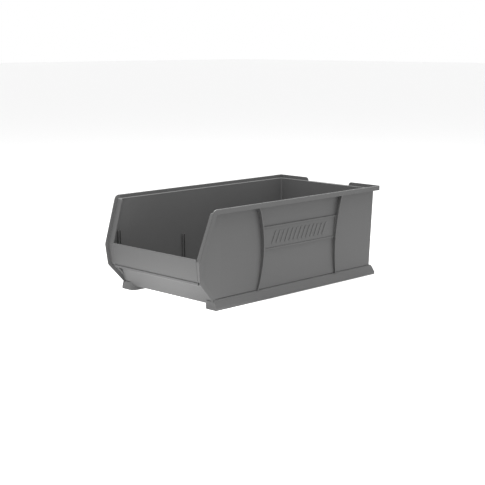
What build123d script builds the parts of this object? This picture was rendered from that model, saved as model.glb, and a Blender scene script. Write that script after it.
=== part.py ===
"""Hopper-front stacking bin, one injection moulding, laid out region by region.

Frame: +X to the right, +Y to the back, +Z up, millimetres. The hopper opening
faces -Y. The origin is the middle of the underside, on the surface the bin
stands on. Every region meets its neighbours face to face.
"""

import os

from build123d import *

# ---- overall size -------------------------------------------------------
length = 758.8            # nose of the hopper to the back edge of the rim
width = 419.1             # over the rim
height = 279.4            # underside to the top of the rim

# ---- wall ---------------------------------------------------------------
wall = 4.5                # thickness of the walls, the floor and every panel
draft = 0.0281            # how far a wall leans out for each mm of height
rim_overhang = 12.0       # rim beyond the wall, measured at the rim's underside
rear_corner = 10.0        # outer radius of the two upright rear corners
rear_seam = 22.0          # the rear wall's returns, beyond the corner arcs

# ---- rim ----------------------------------------------------------------
rim_band = 14.0           # height of the rim's outer face
rim_drop = 10.5           # top of the lip down to the stacking ledge
lip = 4.0                 # thickness of the upright lip
rim_round = 16.0          # top corner above the hopper, seen from the side
lip_edge = 1.5            # rounding along the lip's top
ear_reach = 123.0         # each rear ear, from the rim's outer side inwards
ear_round = 9.0           # rounded end of an ear

# ---- base ---------------------------------------------------------------
rail_height = 14.0        # floor's underside above the ground
rail_width = 40.0         # foot channel under the floor's edge
web = 4.0                 # thickness of the foot rails, their ribs and the skirt
side_bays = 10            # bays between ribs along a side, and across the back
rear_bays = 5
skirt_flare = 10.8        # skirt's foot beyond the wall line at the ground
skirt_top = 29.0          # shoulder of the skirt
skirt_shoulder = 2.2      # shoulder beyond the wall line
skirt_knee = 5.3          # skirt's knee beyond the wall line
knee_height = 23.0
skirt_toe = 7.0           # upright toe of the skirt
shadow_line = 2.5         # height of the groove round the wall above the skirt
shadow_deep = 1.5
foot_front = 61.4         # nose of the hopper back to the front of the feet
foot_top = 25.0
foot_round = 16.0         # inner corner of a front foot

# ---- hopper front -------------------------------------------------------
nose_height = 141.0       # furthest point forward
rim_setback = 48.0        # rim's front end behind the nose
chin_height = 80.7        # lower end of the nose's face
chin_setback = 6.2
heel_setback = 51.3       # lower end of the cheek's diagonal
heel_height = 31.0
flare_start = 86.4        # cheek starts to flare this far behind the nose
flare = 0.05              # outward lean of the cheek for each mm forwards
edge_reach = 22.05        # hopper's ledge at the rim, from the rim's outside inwards
edge_reach_low = 32.05    # the same from the front lip down
chin_overhang = 10.6      # how much nearer the middle the hopper's outside is at the chin
heel_overhang = 17.8      # the same at the foot
nose_round = 10.0
edge_seat = 2.6           # how far the hopper's edge reaches into the skirt

lip_top = 145.6           # top of the front lip
groove_top = 85.6
groove_deep = 2.0
groove_bottom = 81.1
rib_bottom = 74.6         # bottom of the rib under the groove
step_height = 66.0        # top of the sloped lower panel
step_setback = 41.4       # the same, behind the nose
step_round = 8.0
toe_setback = 68.4        # lower end of the sloped panel, behind the nose

# ---- side wall details --------------------------------------------------
fin = 4.0                 # thickness of a side fin
fin_foot = 5.0            # its depth at the skirt; at the rim it is flush with the rim
front_fin = (-153.0, -129.5, -147.0)   # along the wall at its top, middle, foot
rear_fin = (199.0, 180.5, 190.0)
plaque = (141.0, 208.0)   # bottom and top of the plaque
plate_proud = 1.5
frame_wide = 4.0          # raised border round the plaque
frame_proud = 3.5
bar_count = 13            # slanted bars raised on the plaque
bar_wide = 8.0
bar_pitch = 18.0
bar_slant = 16.0          # how far a bar's top is behind its bottom
bar_clear = 12.0          # plain margin over and under the bars
bar_proud = 1.2
slot_gap = 5.0            # a slot's opening, for a divider or a window
slot_rib = 3.0            # each of its two ribs
slot_deep = 4.5
divider_at = -84.0
divider_top = 137.0
window_setback = 46.4     # window slot, behind the nose
window_top = 177.0

# ---- worked out ---------------------------------------------------------
nose = -length / 2
rear = length / 2
side = width / 2
rim_under = height - rim_band
ledge_top = height - rim_drop
floor_top = rail_height + wall
shadow_top = skirt_top + shadow_line
wall_foot = side - rim_overhang - draft * rim_under        # side wall line at z = 0
rear_foot = rear - rim_overhang - draft * rim_under        # rear wall line at z = 0
seam = rear - rim_overhang - rear_seam
flare_y = nose + flare_start
foot_y = nose + foot_front
rim_end = nose + rim_setback + rim_round
edge_back = max(rim_end, foot_y + edge_seat)
lip_inner = side - lip
edge_inner, edge_inner_low = side - edge_reach, side - edge_reach_low
far = 2 * length                                           # reach past everything


def wall_x(z):
    """Outer face of the side wall at a height."""
    return wall_foot + draft * z


def wall_y(z):
    """Outer face of the rear wall at a height."""
    return rear_foot + draft * z


def save(made, name):
    made.part.label = name
    export_step(made.part, f"parts/{name}.step")


def save_pair(made, name):
    """Write the right-hand piece and its mirror image on the left."""
    with BuildPart() as other:
        mirror(made.part, about=Plane.YZ)
    save(made, f"{name}_right")
    save(other, f"{name}_left")


def across(outline, half):
    """A profile of (y, z) points carried from -half to +half in x."""
    with BuildPart() as made:
        with BuildSketch(Plane.YZ):
            with BuildLine():
                Polyline(*outline, close=True)
            make_face()
        extrude(amount=half, both=True)
    return made.part


def along(outline, front, back):
    """A profile of (x, z) points carried from front to back in y."""
    with BuildPart() as made:
        with BuildSketch(Plane.XZ.offset(-back)):
            with BuildLine():
                Polyline(*outline, close=True)
            make_face()
        extrude(amount=back - front)
    return made.part


os.makedirs("parts", exist_ok=True)

# ---- the hopper's outline, seen from the side ---------------------------
rim_corner = (nose + rim_setback, height)
nose_point = (nose, nose_height)
chin = (nose + chin_setback, chin_height)
heel = (nose + heel_setback, heel_height)
hopper_points = [(far, height), rim_corner, nose_point, chin, heel]
hopper_rounds = [rim_round, nose_round, nose_round]


def inset_corners(points, inset):
    """The inner corners of a chain of (y, z) points, each run moved to its left."""
    runs = []
    for start, end in zip(points, points[1:]):
        along_run = (Vector(*end) - Vector(*start)).normalized()
        runs.append((Vector(*start) + along_run.rotate(Axis.Z, 90) * inset, along_run))
    corners = []
    for (here, way), (there, onward) in zip(runs, runs[1:]):
        step = (there - here).cross(onward).Z / way.cross(onward).Z
        corners.append(here + way * step)
    return corners


def hopper_area(inset):
    """Side view of everything behind the hopper's edge, moved in by inset."""
    corners = inset_corners(hopper_points, inset)
    radii = [max(radius - inset, lip_edge) for radius in hopper_rounds]
    low = corners[-1] + (Vector(*heel) - Vector(*chin)) * 2
    with BuildSketch(Plane.YZ) as area:
        with BuildLine():
            FilletPolyline((far, height - inset), *corners, low, radius=radii)
            Polyline(low, (far, low.Y), (far, height - inset))
        make_face()
    return area.sketch


# ---- walls --------------------------------------------------------------
wall_section = [
    (wall_x(floor_top), floor_top),
    (wall_x(skirt_top), skirt_top),
    (wall_x(skirt_top) - shadow_deep, skirt_top),
    (wall_x(shadow_top) - shadow_deep, shadow_top),
    (wall_x(shadow_top), shadow_top),
    (wall_x(rim_under), rim_under),
    (wall_x(rim_under) - wall, rim_under),
    (wall_x(floor_top) - wall, floor_top),
]

with BuildPart() as side_wall:
    add(along(wall_section, flare_y, seam))
save_pair(side_wall, "side_wall")


def cheek_sheet(thick, bottom, top):
    """Part of the leaning, flared cheek, thick measured in from its outer face."""
    reach = flare_start + wall
    with BuildPart() as made:
        with BuildSketch(Plane.XY):
            with BuildLine():
                Polyline(
                    (wall_foot, flare_y),
                    (wall_foot + flare * reach, flare_y - reach),
                    (wall_foot + flare * reach - thick, flare_y - reach),
                    (wall_foot - thick, flare_y),
                    close=True,
                )
            make_face()
        extrude(amount=height, dir=(draft, 0, 1))
        split(bisect_by=Plane.XY.offset(bottom), keep=Keep.TOP)
        split(bisect_by=Plane.XY.offset(top), keep=Keep.BOTTOM)
    return made.part


with BuildPart() as cheek:
    add(cheek_sheet(wall, floor_top, rim_under))
    add(cheek_sheet(shadow_deep, skirt_top, shadow_top), mode=Mode.SUBTRACT)
    extrude(hopper_area(rim_band), amount=side, mode=Mode.INTERSECT)
save_pair(cheek, "cheek")


def rear_sheet(thick, bottom, top):
    """Part of the rear wall and its corners: two level outlines and a ruled skin."""
    with BuildPart() as made:
        for z in (bottom, top):
            with BuildSketch(Plane.XY.offset(z)):
                with BuildLine():
                    out_x, out_y = wall_x(z), wall_y(z)
                    in_x, in_y = out_x - thick, out_y - thick
                    FilletPolyline(
                        (out_x, seam), (out_x, out_y), (-out_x, out_y), (-out_x, seam),
                        radius=rear_corner,
                    )
                    FilletPolyline(
                        (in_x, seam), (in_x, in_y), (-in_x, in_y), (-in_x, seam),
                        radius=rear_corner - thick,
                    )
                    Line((out_x, seam), (in_x, seam))
                    Line((-out_x, seam), (-in_x, seam))
                make_face()
        loft(ruled=True)
    return made.part


with BuildPart() as rear_wall:
    add(rear_sheet(wall, floor_top, rim_under))
    add(rear_sheet(shadow_deep, skirt_top, shadow_top), mode=Mode.SUBTRACT)
save(rear_wall, "rear_wall")

# ---- hopper edge: the rim's lip and ledge carried round the front ---------
chin_side, heel_side = side - chin_overhang, side - heel_overhang
chin_line = chin_height + nose_round
edge_section = [
    (side, height), (side, rim_under), (chin_side, chin_line), (heel_side, foot_top),
    (edge_inner_low, foot_top), (edge_inner_low, lip_top), (edge_inner, height),
]
inside_lip = [
    (0, height), (lip_inner, height), (lip_inner, rim_under), (chin_side - lip, chin_line),
    (heel_side - lip, foot_top), (heel_side - lip, 0), (0, 0),
]
rim_space = [(rim_end, rim_under), (rim_end, height), (far, height), (far, rim_under)]

with BuildPart() as recess:
    add(along(inside_lip, nose, edge_back))
    extrude(hopper_area(rim_drop), amount=side, mode=Mode.SUBTRACT)

front_edge = hopper_area(lip_edge).face()

with BuildPart() as hopper_edge:
    add(along(edge_section, nose, edge_back))
    add(across(rim_space, side), mode=Mode.SUBTRACT)
    extrude(hopper_area(0), amount=side, mode=Mode.INTERSECT)
    extrude(hopper_area(rim_band), amount=side, mode=Mode.SUBTRACT)
    outer_faces = hopper_edge.faces().filter_by(lambda face: face.normal_at().X > 0.9)
    outer_edges = outer_faces.edges().filter_by(
        lambda edge: not front_edge.is_inside(Vector(0, (edge @ 0.5).Y, (edge @ 0.5).Z))
    )
    fillet(outer_edges, lip_edge)
    add(recess.part, mode=Mode.SUBTRACT)
save_pair(hopper_edge, "hopper_edge")

# ---- front lip and the rib below it, level with the hopper's ledge --------
lip_face = inset_corners(hopper_points, rim_drop)
lip_lean = (lip_face[2].X - lip_face[1].X) / (lip_face[1].Y - lip_face[2].Y)


def lip_y(z):
    """Front face of the lip at a height."""
    return lip_face[1].X + lip_lean * (lip_face[1].Y - z)


def between_edges(outline, rounded, radius):
    """A profile carried across to the hopper's edges, one group of its long edges rounded."""
    with BuildPart() as made:
        add(across(outline, edge_inner_low))
        fillet(rounded(made.edges().filter_by(Axis.X)), radius)
    return made


lip_profile = [
    (lip_y(groove_top), groove_top), (lip_y(lip_top), lip_top),
    (lip_y(lip_top) + wall, lip_top), (lip_y(groove_bottom) + wall, groove_bottom),
    (lip_y(groove_bottom) + groove_deep, groove_bottom),
    (lip_y(groove_top) + groove_deep, groove_top),
]
front_lip = between_edges(lip_profile, lambda edges: edges.group_by(Axis.Z)[-1], wall * 0.45)
save(front_lip, "front_lip")

rib_profile = [
    (lip_y(groove_bottom), groove_bottom), (lip_y(rib_bottom), rib_bottom),
    (lip_y(rib_bottom) + wall, rib_bottom), (lip_y(groove_bottom) + wall, groove_bottom),
]
front_rib = between_edges(rib_profile, lambda edges: edges.group_by(Axis.Y)[0], lip_edge)
save(front_rib, "front_rib")

# ---- floor and the sloped front under the lip ---------------------------
toe = Vector(nose + toe_setback, rail_height)
step = Vector(nose + step_setback, step_height)
step_front = lip_y(rib_bottom) + wall
under_side = [(far, rail_height), toe, step, (step_front, rib_bottom)]
inner_foot, inner_step = inset_corners(under_side, -wall)


def slope_y(z):
    """Outer face of the sloped panel at a height."""
    return toe.X + (step.X - toe.X) * (z - toe.Y) / (step.Y - toe.Y)


with BuildPart() as floor_panel:
    with BuildSketch(Plane.XY.offset(rail_height)):
        with Locations((0, (toe.X + rear_foot) / 2)):
            Rectangle(2 * wall_foot, rear_foot - toe.X)
    extrude(amount=wall)
save(floor_panel, "floor_panel")

# The slope runs up from the floor and turns forward as a step under the rib.
inside_reach = flare_start + wall
with BuildPart() as inside_cheek:
    with BuildSketch(Plane.XY):
        with BuildLine():
            Polyline(
                (-width, flare_y), (wall_foot - wall, flare_y),
                (wall_foot - wall + flare * inside_reach, flare_y - inside_reach),
                (-width, flare_y - inside_reach), close=True,
            )
        make_face()
    extrude(amount=height, dir=(draft, 0, 1))

with BuildPart() as sloped_panel:
    with BuildSketch(Plane.YZ):
        with BuildLine():
            FilletPolyline(*under_side[1:], radius=step_round)
            Polyline(
                (step_front, rib_bottom), (step_front, rib_bottom + wall),
                inner_step, inner_foot, (toe.X, floor_top), toe,
            )
        make_face()
    extrude(amount=side, both=True)
    add(inside_cheek.part, mode=Mode.INTERSECT)
    mirror(inside_cheek.part, about=Plane.YZ, mode=Mode.INTERSECT)
    add(hopper_edge.part, mode=Mode.SUBTRACT)
    mirror(hopper_edge.part, about=Plane.YZ, mode=Mode.SUBTRACT)
save(sloped_panel, "sloped_panel")

# ---- base: skirt, foot channels and front feet ---------------------------
def skirt_outer(foot):
    """Outer face of the skirt, from the ground up to its shoulder."""
    return [
        (foot + skirt_flare, 0), (foot + skirt_flare, skirt_toe),
        (foot + skirt_knee, knee_height), (foot + skirt_shoulder, skirt_top),
    ]


def skirt_inner(foot):
    """Inner face of the skirt, from the ground up to the floor's underside."""
    low, high = inset_corners(skirt_outer(foot), web)
    upper = low + (high - low) * ((rail_height - low.Y) / (high.Y - low.Y))
    return [(foot + skirt_flare - web, 0), low, upper]


def skirt_root(foot, line):
    """Where the skirt meets the wall and the floor's edge, from its shoulder down."""
    return [(line(skirt_top), skirt_top), (line(floor_top), floor_top), (foot, floor_top)]


def skirt_outline(foot, line):
    """Section of the skirt, open at the bottom."""
    inner = [(foot, rail_height), *reversed(skirt_inner(foot))]
    return [*skirt_outer(foot), *skirt_root(foot, line), *inner]


def solid_outline(foot, line):
    """The same section filled in, for the skirt's ends."""
    return [*skirt_outer(foot), *skirt_root(foot, line), (foot, 0)]


rear_skirt_y = rear_foot + skirt_flare
rear_outside = [(foot_y, 0), *skirt_outer(rear_foot), (wall_y(skirt_top), skirt_top), (foot_y, skirt_top)]

with BuildPart() as side_skirt:
    add(along(skirt_outline(wall_foot, wall_x), foot_y, rear_foot))
    add(along(solid_outline(wall_foot, wall_x), foot_y, foot_y + web))
    add(along(solid_outline(wall_foot, wall_x), rear_foot, rear_skirt_y))
    add(across(rear_outside, width), mode=Mode.INTERSECT)
    for piece in (cheek, hopper_edge, rear_wall):
        add(piece.part, mode=Mode.SUBTRACT)
save_pair(side_skirt, "side_skirt")

with BuildPart() as rear_skirt:
    add(across(skirt_outline(rear_foot, wall_y), wall_foot))
    add(rear_wall.part, mode=Mode.SUBTRACT)
save(rear_skirt, "rear_skirt")

rail_inner = wall_foot - rail_width
rail_front = foot_y + foot_round + web
rail_back = rear_foot - rail_width + web

with BuildPart() as foot_rail:
    with BuildSketch(Plane.XY):
        with Locations((rail_inner + web / 2, (rail_front + rail_back) / 2)):
            Rectangle(web, rail_back - rail_front)
    extrude(amount=rail_height)
save_pair(foot_rail, "foot_rail")

with BuildPart() as rear_rail:
    with BuildSketch(Plane.XY):
        with Locations((0, rail_back - web / 2)):
            Rectangle(2 * rail_inner, web)
    extrude(amount=rail_height)
save(rear_rail, "rear_rail")

side_bay = (rail_back - web / 2 - rail_front) / side_bays
side_rib = [(rail_inner + web, rail_height), (rail_inner + web, 0), *skirt_inner(wall_foot)]

with BuildPart() as foot_ribs:
    for index in range(side_bays):
        middle = rail_front + (index + 1) * side_bay
        add(along(side_rib, middle - web / 2, middle + web / 2))
save_pair(foot_ribs, "foot_ribs")

rear_bay = (2 * rail_inner + web) / rear_bays
rear_rib = [(rail_back, rail_height), (rail_back, 0), *skirt_inner(rear_foot)]

with BuildPart() as rear_ribs:
    for index in range(rear_bays + 1):
        with Locations((index * rear_bay - rail_inner - web / 2, 0, 0)):
            add(across(rear_rib, web / 2))
save(rear_ribs, "rear_ribs")

foot_section = [
    (foot_y, 0), (foot_y, foot_top), (slope_y(foot_top), foot_top), (toe.X, toe.Y),
    (rail_front, rail_height), (rail_front, 0),
]

with BuildPart() as front_foot:
    with BuildSketch(Plane.XY):
        with BuildLine():
            FilletPolyline(
                (wall_foot, foot_y), (rail_inner, foot_y), (rail_inner, rail_front),
                radius=foot_round,
            )
            Polyline((rail_inner, rail_front), (wall_foot, rail_front), (wall_foot, foot_y))
        make_face()
    extrude(amount=foot_top)
    fillet(front_foot.edges().group_by(Axis.Z)[-1].group_by(Axis.Y)[0], lip_edge)
    with BuildSketch(Plane.XY):
        with BuildLine():
            FilletPolyline(
                (wall_foot, foot_y + web), (rail_inner + web, foot_y + web),
                (rail_inner + web, rail_front), radius=foot_round - web,
            )
            Polyline(
                (rail_inner + web, rail_front), (wall_foot, rail_front), (wall_foot, foot_y + web),
            )
        make_face()
    extrude(amount=rail_height, mode=Mode.SUBTRACT)
    add(across(foot_section, side), mode=Mode.INTERSECT)
    add(cheek.part, mode=Mode.SUBTRACT)
    add(hopper_edge.part, mode=Mode.SUBTRACT)
save_pair(front_foot, "front_foot")

# ---- rim ----------------------------------------------------------------
ledge_inner = wall_x(rim_under) - wall
rear_ledge_inner = wall_y(rim_under) - wall

with BuildPart() as rim_ledge:
    with BuildSketch(Plane.XY.offset(rim_under)):
        with Locations(((ledge_inner + lip_inner) / 2, (rim_end + seam) / 2)):
            Rectangle(lip_inner - ledge_inner, seam - rim_end)
    extrude(amount=rim_band - rim_drop)
save_pair(rim_ledge, "rim_ledge")

with BuildPart() as rear_ledge:
    with BuildSketch(Plane.XY.offset(rim_under)):
        with BuildLine():
            FilletPolyline(
                (ledge_inner, seam), (ledge_inner, rear_ledge_inner),
                (-ledge_inner, rear_ledge_inner), (-ledge_inner, seam), radius=rear_corner - wall,
            )
            Polyline(
                (-ledge_inner, seam), (-lip_inner, seam), (-lip_inner, rear - lip),
                (-(side - ear_reach), rear - lip), (-(side - ear_reach), rear),
                (side - ear_reach, rear), (side - ear_reach, rear - lip),
                (lip_inner, rear - lip), (lip_inner, seam), (ledge_inner, seam),
            )
        make_face()
    extrude(amount=rim_band - rim_drop)
save(rear_ledge, "rear_ledge")

with BuildPart() as rim_lip:
    with BuildSketch(Plane.XZ.offset(-seam)):
        with Locations((side - lip / 2, (rim_under + height) / 2)):
            Rectangle(lip, rim_band)
    extrude(amount=seam - rim_end)
    fillet(rim_lip.edges().filter_by(Axis.Y).group_by(Axis.Z)[-1], lip_edge)
save_pair(rim_lip, "rim_lip")

with BuildPart() as rear_ear:
    with BuildSketch(Plane.XY.offset(rim_under)):
        with BuildLine():
            FilletPolyline((side, seam), (side, rear), (side - ear_reach, rear), radius=rear_corner / 2)
            Line((side - ear_reach, rear), (side - ear_reach, rear - lip))
            Polyline((side - ear_reach, rear - lip), (lip_inner, rear - lip), (lip_inner, seam))
            Line((lip_inner, seam), (side, seam))
        make_face()
    extrude(amount=rim_band)
    end_edge = rear_ear.edges().filter_by(Axis.Y).group_by(Axis.Z)[-1].sort_by(Axis.X)[0]
    fillet(end_edge, ear_round)
save_pair(rear_ear, "rear_ear")

# ---- side fins and plaque -------------------------------------------------
def wall_skin(start, thick, bottom, top):
    """A layer on the side wall's outer face, start to start + thick from it."""
    outline = [
        (wall_x(bottom) + start, bottom), (wall_x(top) + start, top),
        (wall_x(top) + start + thick, top), (wall_x(bottom) + start + thick, bottom),
    ]
    return along(outline, flare_y, seam)


def fin_curve(at, shift):
    """Arc of a fin in (y, z), from the rim down to the skirt."""
    top, middle, foot = [y + shift for y in at]
    return ThreePointArc((top, rim_under), (middle, nose_height), (foot, skirt_top))


def between_curves(front, front_shift, back, back_shift):
    """A block across the right side, between two fin curves."""
    with BuildPart() as made:
        with BuildSketch(Plane.YZ):
            with BuildLine():
                ahead = fin_curve(front, front_shift)
                behind = fin_curve(back, back_shift)
                Line(ahead @ 0, behind @ 0)
                Line(ahead @ 1, behind @ 1)
            make_face()
        extrude(amount=side)
    return made.part


fin_section = [
    (wall_x(skirt_top), skirt_top), (wall_x(rim_under), rim_under),
    (side, rim_under), (wall_x(skirt_top) + fin_foot, skirt_top),
]

for at, name in ((front_fin, "front_fin"), (rear_fin, "rear_fin")):
    with BuildPart() as side_fin:
        add(between_curves(at, -fin, at, 0))
        add(along(fin_section, flare_y, seam), mode=Mode.INTERSECT)
    save_pair(side_fin, name)

plate_low, plate_high = plaque[0] + frame_wide, plaque[1] - frame_wide

with BuildPart() as plaque_plate:
    add(between_curves(front_fin, frame_wide, rear_fin, -fin - frame_wide))
    add(wall_skin(0, plate_proud, plate_low, plate_high), mode=Mode.INTERSECT)
save_pair(plaque_plate, "plaque_plate")

with BuildPart() as opening:
    add(between_curves(front_fin, frame_wide, rear_fin, -fin - frame_wide))
    add(wall_skin(0, frame_proud, plate_low, plate_high), mode=Mode.INTERSECT)

with BuildPart() as plaque_frame:
    add(between_curves(front_fin, 0, rear_fin, -fin))
    add(wall_skin(0, frame_proud, *plaque), mode=Mode.INTERSECT)
    add(opening.part, mode=Mode.SUBTRACT)
save_pair(plaque_frame, "plaque_frame")

bars_low, bars_high = plate_low + bar_clear, plate_high - bar_clear
plate_middle = (front_fin[1] + rear_fin[1] - fin) / 2
first_bar = plate_middle - (bar_wide + bar_slant + (bar_count - 1) * bar_pitch) / 2

with BuildPart() as plaque_bars:
    with BuildSketch(Plane.YZ):
        for index in range(bar_count):
            start = first_bar + index * bar_pitch
            with BuildLine():
                Polyline(
                    (start, bars_low), (start + bar_wide, bars_low),
                    (start + bar_wide + bar_slant, bars_high), (start + bar_slant, bars_high),
                    close=True,
                )
            make_face()
    extrude(amount=side)
    add(wall_skin(plate_proud, bar_proud, bars_low, bars_high), mode=Mode.INTERSECT)
save_pair(plaque_bars, "plaque_bars")

# ---- slots inside: two ribs each, for a divider and for a window ----------
def slot_pair(at, bottom, top, cutters):
    """Two upright ribs with a slot between them, trimmed to the wall they stand on."""
    face = flare * max(flare_y - at, 0) - wall
    outline = [
        (wall_x(bottom) + face - slot_deep, bottom), (wall_x(top) + face - slot_deep, top),
        (wall_x(top) + face + wall / 2, top), (wall_x(bottom) + face + wall / 2, bottom),
    ]
    with BuildPart() as made:
        for shift in (-1, 1):
            middle = at + shift * (slot_gap + slot_rib) / 2
            add(along(outline, middle - slot_rib / 2, middle + slot_rib / 2))
        for cutter in cutters:
            add(cutter.part, mode=Mode.SUBTRACT)
    return made


save_pair(slot_pair(divider_at, floor_top, divider_top, [side_wall]), "divider_slot")
window_at = nose + window_setback
save_pair(slot_pair(window_at, step_height, window_top, [cheek, sloped_panel]), "window_slot")
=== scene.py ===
import math

import bmesh
import bpy
from mathutils import Matrix, Vector


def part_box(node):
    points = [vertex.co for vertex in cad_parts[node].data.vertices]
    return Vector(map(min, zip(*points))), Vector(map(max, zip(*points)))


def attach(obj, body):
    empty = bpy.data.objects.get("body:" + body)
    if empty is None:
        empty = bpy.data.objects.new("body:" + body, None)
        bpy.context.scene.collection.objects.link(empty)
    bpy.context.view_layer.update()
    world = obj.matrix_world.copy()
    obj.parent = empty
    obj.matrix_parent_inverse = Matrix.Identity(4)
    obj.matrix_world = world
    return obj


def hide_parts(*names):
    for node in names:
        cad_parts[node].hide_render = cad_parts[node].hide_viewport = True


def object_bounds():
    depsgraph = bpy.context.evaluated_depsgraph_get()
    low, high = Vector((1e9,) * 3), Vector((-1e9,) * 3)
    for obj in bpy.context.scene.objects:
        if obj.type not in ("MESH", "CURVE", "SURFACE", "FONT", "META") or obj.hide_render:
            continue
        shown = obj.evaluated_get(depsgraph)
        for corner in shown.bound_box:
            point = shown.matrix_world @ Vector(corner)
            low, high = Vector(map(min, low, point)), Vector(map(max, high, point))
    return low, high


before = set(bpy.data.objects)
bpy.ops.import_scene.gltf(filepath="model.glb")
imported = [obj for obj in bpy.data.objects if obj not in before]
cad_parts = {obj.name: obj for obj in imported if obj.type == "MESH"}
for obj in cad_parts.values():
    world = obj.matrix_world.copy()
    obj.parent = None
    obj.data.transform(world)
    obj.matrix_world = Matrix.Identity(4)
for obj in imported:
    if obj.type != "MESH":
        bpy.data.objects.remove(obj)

cad_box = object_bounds()

# ---- studio ---------------------------------------------------------------
# A product shot on white paper: a long lens above rim height, off the front right
# corner, one broad soft lamp overhead and an even white surround.
camera = bpy.data.objects.new("camera", bpy.data.cameras.new("camera"))
bpy.context.collection.objects.link(camera)
camera.location = (2.2866, -2.3118, 0.7190)
aim = Vector((-0.0041, -0.0110, 0.1230))
camera.rotation_euler = (aim - camera.location).to_track_quat("-Z", "Y").to_euler()
camera.data.sensor_width = 36.0
camera.data.lens = 81.36
bpy.context.scene.camera = camera
bpy.context.scene.view_settings.view_transform = "Standard"

lamp = bpy.data.lights.new("top_lamp", "AREA")
lamp.shape = "SQUARE"
lamp.size = 2.2
lamp.energy = 205
top_lamp = bpy.data.objects.new("top_lamp", lamp)
top_lamp.location = (0.1, 0.1, 2.8)
top_lamp.rotation_euler = (-top_lamp.location).to_track_quat("-Z", "Y").to_euler()
bpy.context.collection.objects.link(top_lamp)

world = bpy.data.worlds.new("studio")
bpy.context.scene.world = world
world.use_nodes = True
world.node_tree.nodes["Background"].inputs["Color"].default_value = (1, 1, 1, 1)
world.node_tree.nodes["Background"].inputs["Strength"].default_value = 1.0

# ---- floor ----------------------------------------------------------------
# A wide sheet of matt white paper that glows until it is as bright as the air behind it,
# and glows most in a painted pool of light in front of the bin, which throws light back up under the lip.


class Nodes:
    """A material's node tree, with one method that makes and wires any node."""

    def __init__(self, name):
        self.material = bpy.data.materials.new(name)
        self.material.use_nodes = True
        self.tree = self.material.node_tree
        self.shader = self.tree.nodes["Principled BSDF"]

    def node(self, kind, out=0, settings=None, stops=None, **sockets):
        made = self.tree.nodes.new(kind)
        for key, value in (settings or {}).items():
            setattr(made, key, value)
        if stops:
            ramp = made.color_ramp
            ramp.elements[0].position, ramp.elements[1].position = stops[0][0], stops[-1][0]
            for at, _ in stops[1:-1]:
                ramp.elements.new(at)
            for element, (_, grey) in zip(ramp.elements, stops):
                element.color = (grey, grey, grey, 1)
        for key, value in sockets.items():
            spot = int(key[1:]) if key[0] == "_" else key.replace("_", " ")
            self.wire(made.inputs[spot], value)
        return Wire(self, made.outputs[out])

    def wire(self, socket, value):
        if isinstance(value, Wire):
            self.tree.links.new(value.socket, socket)
        else:
            socket.default_value = value

    def mix(self, factor, first, second):
        """Blend two colours."""
        return self.node(
            "ShaderNodeMix", out=2, settings={"data_type": "RGBA"}, _0=factor, _6=first, _7=second
        )

    def finish(self, **sockets):
        for key, value in sockets.items():
            self.wire(self.shader.inputs[key.replace("_", " ")], value)
        return self.material


class Wire:
    """A socket that takes part in Python arithmetic."""

    def __init__(self, nodes, socket):
        self.nodes = nodes
        self.socket = socket

    def maths(self, operation, first, second, clamp=False):
        return self.nodes.node(
            "ShaderNodeMath", settings={"operation": operation, "use_clamp": clamp}, _0=first, _1=second
        )

    def __add__(self, other):
        return self.maths("ADD", self, other)

    def __sub__(self, other):
        return self.maths("SUBTRACT", self, other)

    def __rsub__(self, other):
        return self.maths("SUBTRACT", other, self)

    def __mul__(self, other):
        return self.maths("MULTIPLY", self, other)

    def __truediv__(self, other):
        return self.maths("DIVIDE", self, other)

    __radd__ = __add__
    __rmul__ = __mul__

    def clamped(self):
        return self.maths("ADD", self, 0.0, clamp=True)

    def highest(self, other):
        return self.maths("MAXIMUM", self, other)

    def ramp(self, *stops):
        return self.nodes.node("ShaderNodeValToRGB", stops=stops, Fac=self)


sheet_half = 30.0
sheet_cells = 12
sheet_drop = 0.0003       # clear of the feet's soles
glow_centre = (0.0, -0.45, 0.0)
glow_radius = 0.4

paper = Nodes("white_paper")
place = paper.node("ShaderNodeTexCoord", out=3)
fibre = paper.node("ShaderNodeTexNoise", Vector=place, Scale=260.0, Detail=3.0)
away = paper.node("ShaderNodeVectorMath", settings={"operation": "SUBTRACT"}, _0=place, _1=glow_centre)
distance = paper.node("ShaderNodeVectorMath", out=1, settings={"operation": "LENGTH"}, _0=away)
paper.finish(
    Base_Color=paper.mix(fibre, (0.40, 0.40, 0.40, 1), (0.44, 0.44, 0.44, 1)),
    Roughness=0.9,
    # painted pool of light: the paper's glow is strongest within glow_radius of glow_centre and fainter
    # elsewhere
    Emission_Color=paper.mix((distance / glow_radius).clamped(), (1, 1, 1, 1), (0.16, 0.16, 0.16, 1)),
    Emission_Strength=2.9,
    Normal=paper.node("ShaderNodeBump", Strength=0.1, Distance=0.0002, Height=fibre),
)

mesh = bpy.data.meshes.new("paper_floor")
build = bmesh.new()
bmesh.ops.create_grid(build, x_segments=sheet_cells, y_segments=sheet_cells, size=sheet_half)
build.to_mesh(mesh)
build.free()
floor = bpy.data.objects.new("paper_floor", mesh)
floor.location.z = -sheet_drop
bpy.context.collection.objects.link(floor)
mesh.materials.append(paper.material)

# ---- the moulding -----------------------------------------------------------
# One injection moulding in grey polymer, coloured through. A fine spark-eroded
# grain outside and in, faint flow marks, and rubbed edges where it is handled.
rim_height = cad_box[1][2]
nose_front = cad_box[0][1]
rim_wear, foot_wear, nose_wear = 0.0035, 0.006, 0.004     # how deep the rubbing reaches


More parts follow.
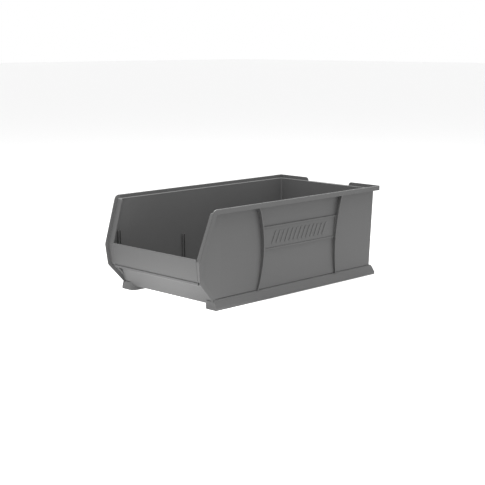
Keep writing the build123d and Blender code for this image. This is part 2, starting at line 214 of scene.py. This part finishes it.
def mould_plastic(name, grey, grain):
    """Satin grey polymer; every piece shares one space, so marks run on across joints."""
    kit = Nodes(name)
    place = kit.node("ShaderNodeTexCoord", out=3)
    along_y = kit.node("ShaderNodeSeparateXYZ", out=1, _0=place)
    up_z = kit.node("ShaderNodeSeparateXYZ", out=2, _0=place)

    cloud = kit.node("ShaderNodeTexNoise", Vector=place, Scale=5.0, Detail=3.0, Roughness=0.55)
    fleck = kit.node("ShaderNodeTexNoise", Vector=place, Scale=420.0, Detail=2.0)
    stretched = kit.node("ShaderNodeMapping", _0=place, _3=(6.0, 1.2, 26.0))
    flow = kit.node("ShaderNodeTexNoise", Vector=stretched, Scale=2.0, Detail=4.0, Distortion=0.6)

    # rubbed paler where hands, shelves and the next bin touch it
    rub = kit.node("ShaderNodeTexNoise", Vector=place, Scale=38.0, Detail=5.0, Roughness=0.7)
    rim_rub = ((up_z - (rim_height - rim_wear)) / rim_wear).clamped()
    foot_rub = (1 - up_z / foot_wear).clamped()
    nose_rub = (1 - (along_y - nose_front) / nose_wear).clamped() * 0.5
    rubbed = rim_rub.highest(foot_rub).highest(nose_rub) * rub.ramp((0.40, 0.0), (0.62, 1.0))

    # long fine scratches, mostly along the bin
    drawn = kit.node("ShaderNodeMapping", _0=place, _2=(0.25, 0.1, 0.0), _3=(60.0, 3.0, 240.0))
    scratch = kit.node("ShaderNodeTexNoise", Vector=drawn, Scale=3.0, Detail=2.0)
    scratched = scratch.ramp((0.69, 0.0), (0.72, 1.0)) * cloud.ramp((0.45, 0.0), (0.6, 1.0))

    dark = (grey * 0.93, grey * 0.93, grey * 0.93, 1)
    pale = (grey * 1.07, grey * 1.07, grey * 1.07, 1)
    worn = (grey * 1.8, grey * 1.8, grey * 1.8, 1)
    body = kit.mix((cloud * 0.5 + fleck * 0.25 + flow * 0.25).clamped(), dark, pale)
    colour = kit.mix((rubbed * 0.55 + scratched * 0.12).clamped(), body, worn)

    pebble = kit.node("ShaderNodeTexNoise", Vector=place, Scale=1500.0, Detail=2.0)
    peel = kit.node("ShaderNodeTexNoise", Vector=place, Scale=90.0, Detail=1.0)
    height = pebble * grain + peel * 0.00006 - scratched * 0.00002
    return kit.finish(
        Base_Color=colour,
        Roughness=0.44 + cloud * 0.08 + fleck * 0.06 - rubbed * 0.10,
        IOR=1.5,
        Normal=kit.node("ShaderNodeBump", Strength=1.0, Distance=1.0, Height=height),
    )


grey_polymer = mould_plastic("grey_polymer", 0.068, 0.00003)
for name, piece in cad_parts.items():
    piece.data.materials.clear()
    piece.data.materials.append(grey_polymer)

# ---- raised trim ------------------------------------------------------------
# Fins, the plaque's frame and bars, and the front feet stand proud of the moulding.
# A mould can't cut a knife edge, so their corners carry a small radius.
trim = ("front_fin", "rear_fin", "plaque_frame", "plaque_bars", "front_foot")
trim_radius = 0.0006
trim_crease = math.radians(40)
for name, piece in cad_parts.items():
    if name.rsplit("_", 1)[0] in trim:
        soft = piece.modifiers.new("mould_radius", "BEVEL")
        soft.width = trim_radius
        soft.segments = 2
        soft.limit_method = "ANGLE"
        soft.angle_limit = trim_crease
        soft.harden_normals = True

# ---- hopper edges -----------------------------------------------------------
# The rim's upright lip and its ledge carried down round the open front as one
# stiff edge of the moulding. The lip's corner opens into a broader round, and the
# ledge widens past the top corner.
rim_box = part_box("rim_lip_right")
rim_end, rim_under, rim_side = rim_box[0][1], rim_box[0][2], rim_box[1][0]
ledge_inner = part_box("rim_ledge_right")[0][0]
ledge_drop = rim_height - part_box("rim_ledge_right")[1][2]
band = rim_height - rim_under
rim_setback, nose_height = 0.048, 0.141
chin_setback, chin_height = 0.0062, 0.0807
foot_setback, foot_height = 0.0653, 0.0156
edge_run = [
    (rim_end, rim_height), (nose_front + rim_setback, rim_height), (nose_front, nose_height),
    (nose_front + chin_setback, chin_height), (nose_front + foot_setback, foot_height),
]
edge_rounds = [0.016, 0.010, 0.010]
run_steps = [6, 12, 8, 8]
arc_steps = 10
least_round = 0.0015
opening_run = 0.019       # how far round the top corner the section takes to change
lip_thick = 0.004
lip_round = 0.0015        # outer corner of the lip at the rim
lip_opens = 0.0015        # how much larger it is past the top corner
lip_steps = 8
ease, ease_side = 0.0008, 0.0002                          # small rounds of the inner corners
crease = math.radians(38)
outer_line = [(0.025, 0.19175), (0.0907, 0.19895), (rim_under, rim_side)]
inner_line = [(0.1456, 0.1775), (rim_height, 0.1875)]


def leftward(start, end):
    """Unit normal on the left of a run in (y, z)."""
    way = Vector(end) - Vector(start)
    return Vector((-way.y, way.x)).normalized()


def edge_line(depth):
    """Side view of the edge, station by station, at a depth behind its front."""
    normals = [leftward(a, b) for a, b in zip(edge_run, edge_run[1:])]
    arcs = []
    for corner, radius, before, after in zip(edge_run[1:-1], edge_rounds, normals, normals[1:]):
        middle = (before + after).normalized()
        small = max(radius - depth, least_round)
        centre = Vector(corner) + middle * ((depth + small) / middle.dot(before))
        turn = before.angle_signed(after)
        arcs.append([
            centre - Matrix.Rotation(-turn * k / arc_steps, 2) @ before * small
            for k in range(arc_steps + 1)
        ])
    first = Vector(edge_run[0]) + normals[0] * depth
    last = Vector(edge_run[-1]) + normals[-1] * depth
    line = [first]
    for steps, arc in zip(run_steps, arcs + [[last]]):
        start = line[-1]
        line += [start.lerp(arc[0], k / steps) for k in range(1, steps)] + arc
    return line


def level(z, line):
    """x at a height on a line of (z, x) points, carried straight on past its ends."""
    pair = next((k for k in range(len(line) - 2) if z < line[k + 1][0]), len(line) - 2)
    (low, first), (high, last) = line[pair], line[pair + 1]
    return first + (last - first) * (z - low) / (high - low)


def edge_section(z, opened):
    """(x, depth) points round the edge where its front is at height z."""
    out = min(level(z, outer_line), rim_side)
    inner = max(level(z, inner_line), inner_line[0][1])
    inner = ledge_inner + (inner - ledge_inner) * opened
    outer_round = lip_round + lip_opens * opened
    step = out - lip_thick
    points = [
        (inner, band), (inner, ledge_drop + ease), (inner + ease_side, ledge_drop + ease_side),
        (inner + ease, ledge_drop), (step - ease, ledge_drop), (step - ease_side, ledge_drop - ease_side),
        (step, ledge_drop - ease), (step, ease), (step + ease_side, ease_side), (step + ease, 0.0),
    ]
    for k in range(lip_steps + 1):
        angle = math.pi / 2 * k / lip_steps
        across, back = math.sin(angle), math.cos(angle)
        points.append((out - outer_round + outer_round * across, outer_round - outer_round * back))
    return points + [(out, band)]


def swept(name, rings):
    """A closed skin through rings of points, capped at both ends."""
    build = bmesh.new()
    loops = [[build.verts.new(point) for point in ring] for ring in rings]
    for one, two in zip(loops, loops[1:]):
        for k in range(len(one)):
            near = (k + 1) % len(one)
            build.faces.new((one[k], one[near], two[near], two[k]))
    build.faces.new(loops[0])
    build.faces.new(list(reversed(loops[-1])))
    bmesh.ops.recalc_face_normals(build, faces=build.faces)
    mesh = bpy.data.meshes.new(name)
    build.to_mesh(mesh)
    build.free()
    mesh.polygons.foreach_set("use_smooth", [True] * len(mesh.polygons))
    mesh.set_sharp_from_angle(angle=crease)
    made = bpy.data.objects.new(name, mesh)
    bpy.context.collection.objects.link(made)
    return made


front = edge_line(0.0)
for hand, side in ((1, "right"), (-1, "left")):
    rings = []
    for station, (y, z) in enumerate(front):
        share = min(max((rim_end - y) / opening_run, 0.0), 1.0) if z > rim_under else 1.0
        opened = share * share * (3 - 2 * share)
        rings.append([
            (hand * x, *edge_line(depth)[station]) for x, depth in edge_section(z, opened)
        ])
    edge = swept(f"hopper_edge_skin_{side}", rings)
    edge.data.materials.append(grey_polymer)
    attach(edge, "root")
    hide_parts(f"hopper_edge_{side}")

# ---- final update -----------------------------------------------------------
bpy.context.view_layer.update()
